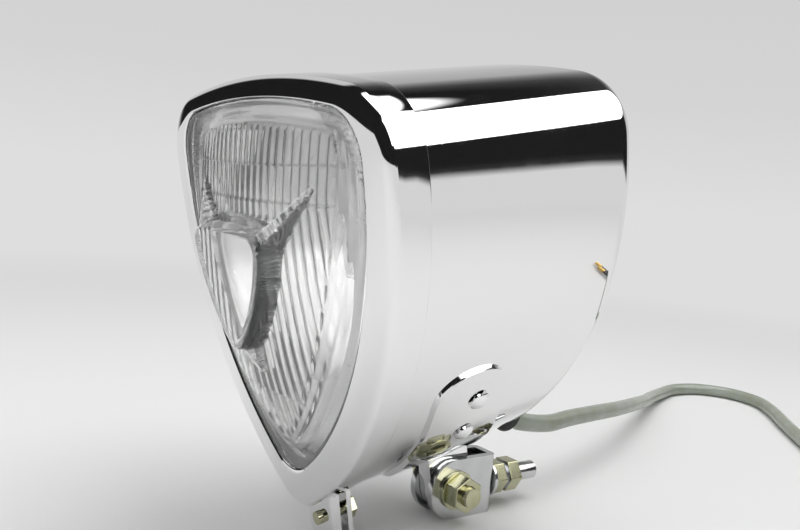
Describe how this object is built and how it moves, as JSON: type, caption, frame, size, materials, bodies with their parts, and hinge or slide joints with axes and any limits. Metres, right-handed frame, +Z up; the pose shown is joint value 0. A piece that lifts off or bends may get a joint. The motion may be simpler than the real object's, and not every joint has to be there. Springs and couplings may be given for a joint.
{
  "type": "triangular auxiliary car lamp",
  "caption": "Triangular chromed auxiliary car lamp with a fluted domed glass lens, tilting on a forked stud bracket, with its cable.",
  "frame": {"origin": "on the mounting stud's axis where its free end begins, just clear of the outer nut", "axes": "+Z up as the lamp lies on a table, +Y back along the stud towards its free end, +X to the lamp's right seen from the front"},
  "size_m": [0.3045, 0.4581, 0.1834],
  "materials": {
    "chrome_plate": "polished plate",
    "lens_glass": "pressed clear",
    "mirror": "silvered",
    "yellow_zinc": "yellow passivated",
    "bright_zinc": "bright zinc plate",
    "spring_steel": "bare",
    "nickel": "nickel plate",
    "solder": "dull",
    "brass": "bare",
    "black_rubber": "moulded",
    "black_pvc": "satin",
    "clear_pvc": "clear sleeve over dark cores",
    "fibre": "pressed fibre"
  },
  "bodies": {
    "lamp_body": {"housing": "chrome_plate", "housing_lug": "chrome_plate", "saddle": "chrome_plate", "ear_rivets": "chrome_plate", "grommet": "black_rubber", "rim_screw": "yellow_zinc", "screw_washer": "yellow_zinc", "spade_sockets": "brass", "inner_leads": "black_pvc", "cable_inlet": "clear_pvc", "cable": "clear_pvc", "cable_cores": "black_pvc", "bullet_ends": "brass"},
    "rim_unit": {"rim": "chrome_plate", "rim_lug": "chrome_plate", "lens_gasket": "black_rubber", "lens": "lens_glass", "lens_clips": "spring_steel", "reflector": "mirror", "bulb_holder": "bright_zinc", "bulb_glass": "lens_glass", "bulb_filament": "spring_steel", "bulb_base": "nickel", "bulb_contact": "solder", "contact_pad": "brass", "contact_disc": "fibre", "contact_blades": "brass"},
    "bracket": {"fork": "bright_zinc", "pivot_bolt": "yellow_zinc", "pivot_nut": "yellow_zinc", "pivot_washers": "yellow_zinc", "mount_stud": "bright_zinc", "stud_washer": "bright_zinc", "stud_spring_washer": "spring_steel", "stud_nuts": "yellow_zinc"}
  },
  "joints": [
    {"name": "tilt", "type": "hinge", "parent": "lamp_body", "child": "bracket", "pos_m": [0, -0.0386, 0], "axis": [-1, 0, 0], "range_deg": [-8, 100]},
    {"name": "rim_off", "type": "slide", "parent": "lamp_body", "child": "rim_unit", "axis": [0, -0.9794, -0.2019], "range_m": [0, 0.07]}
  ]
}
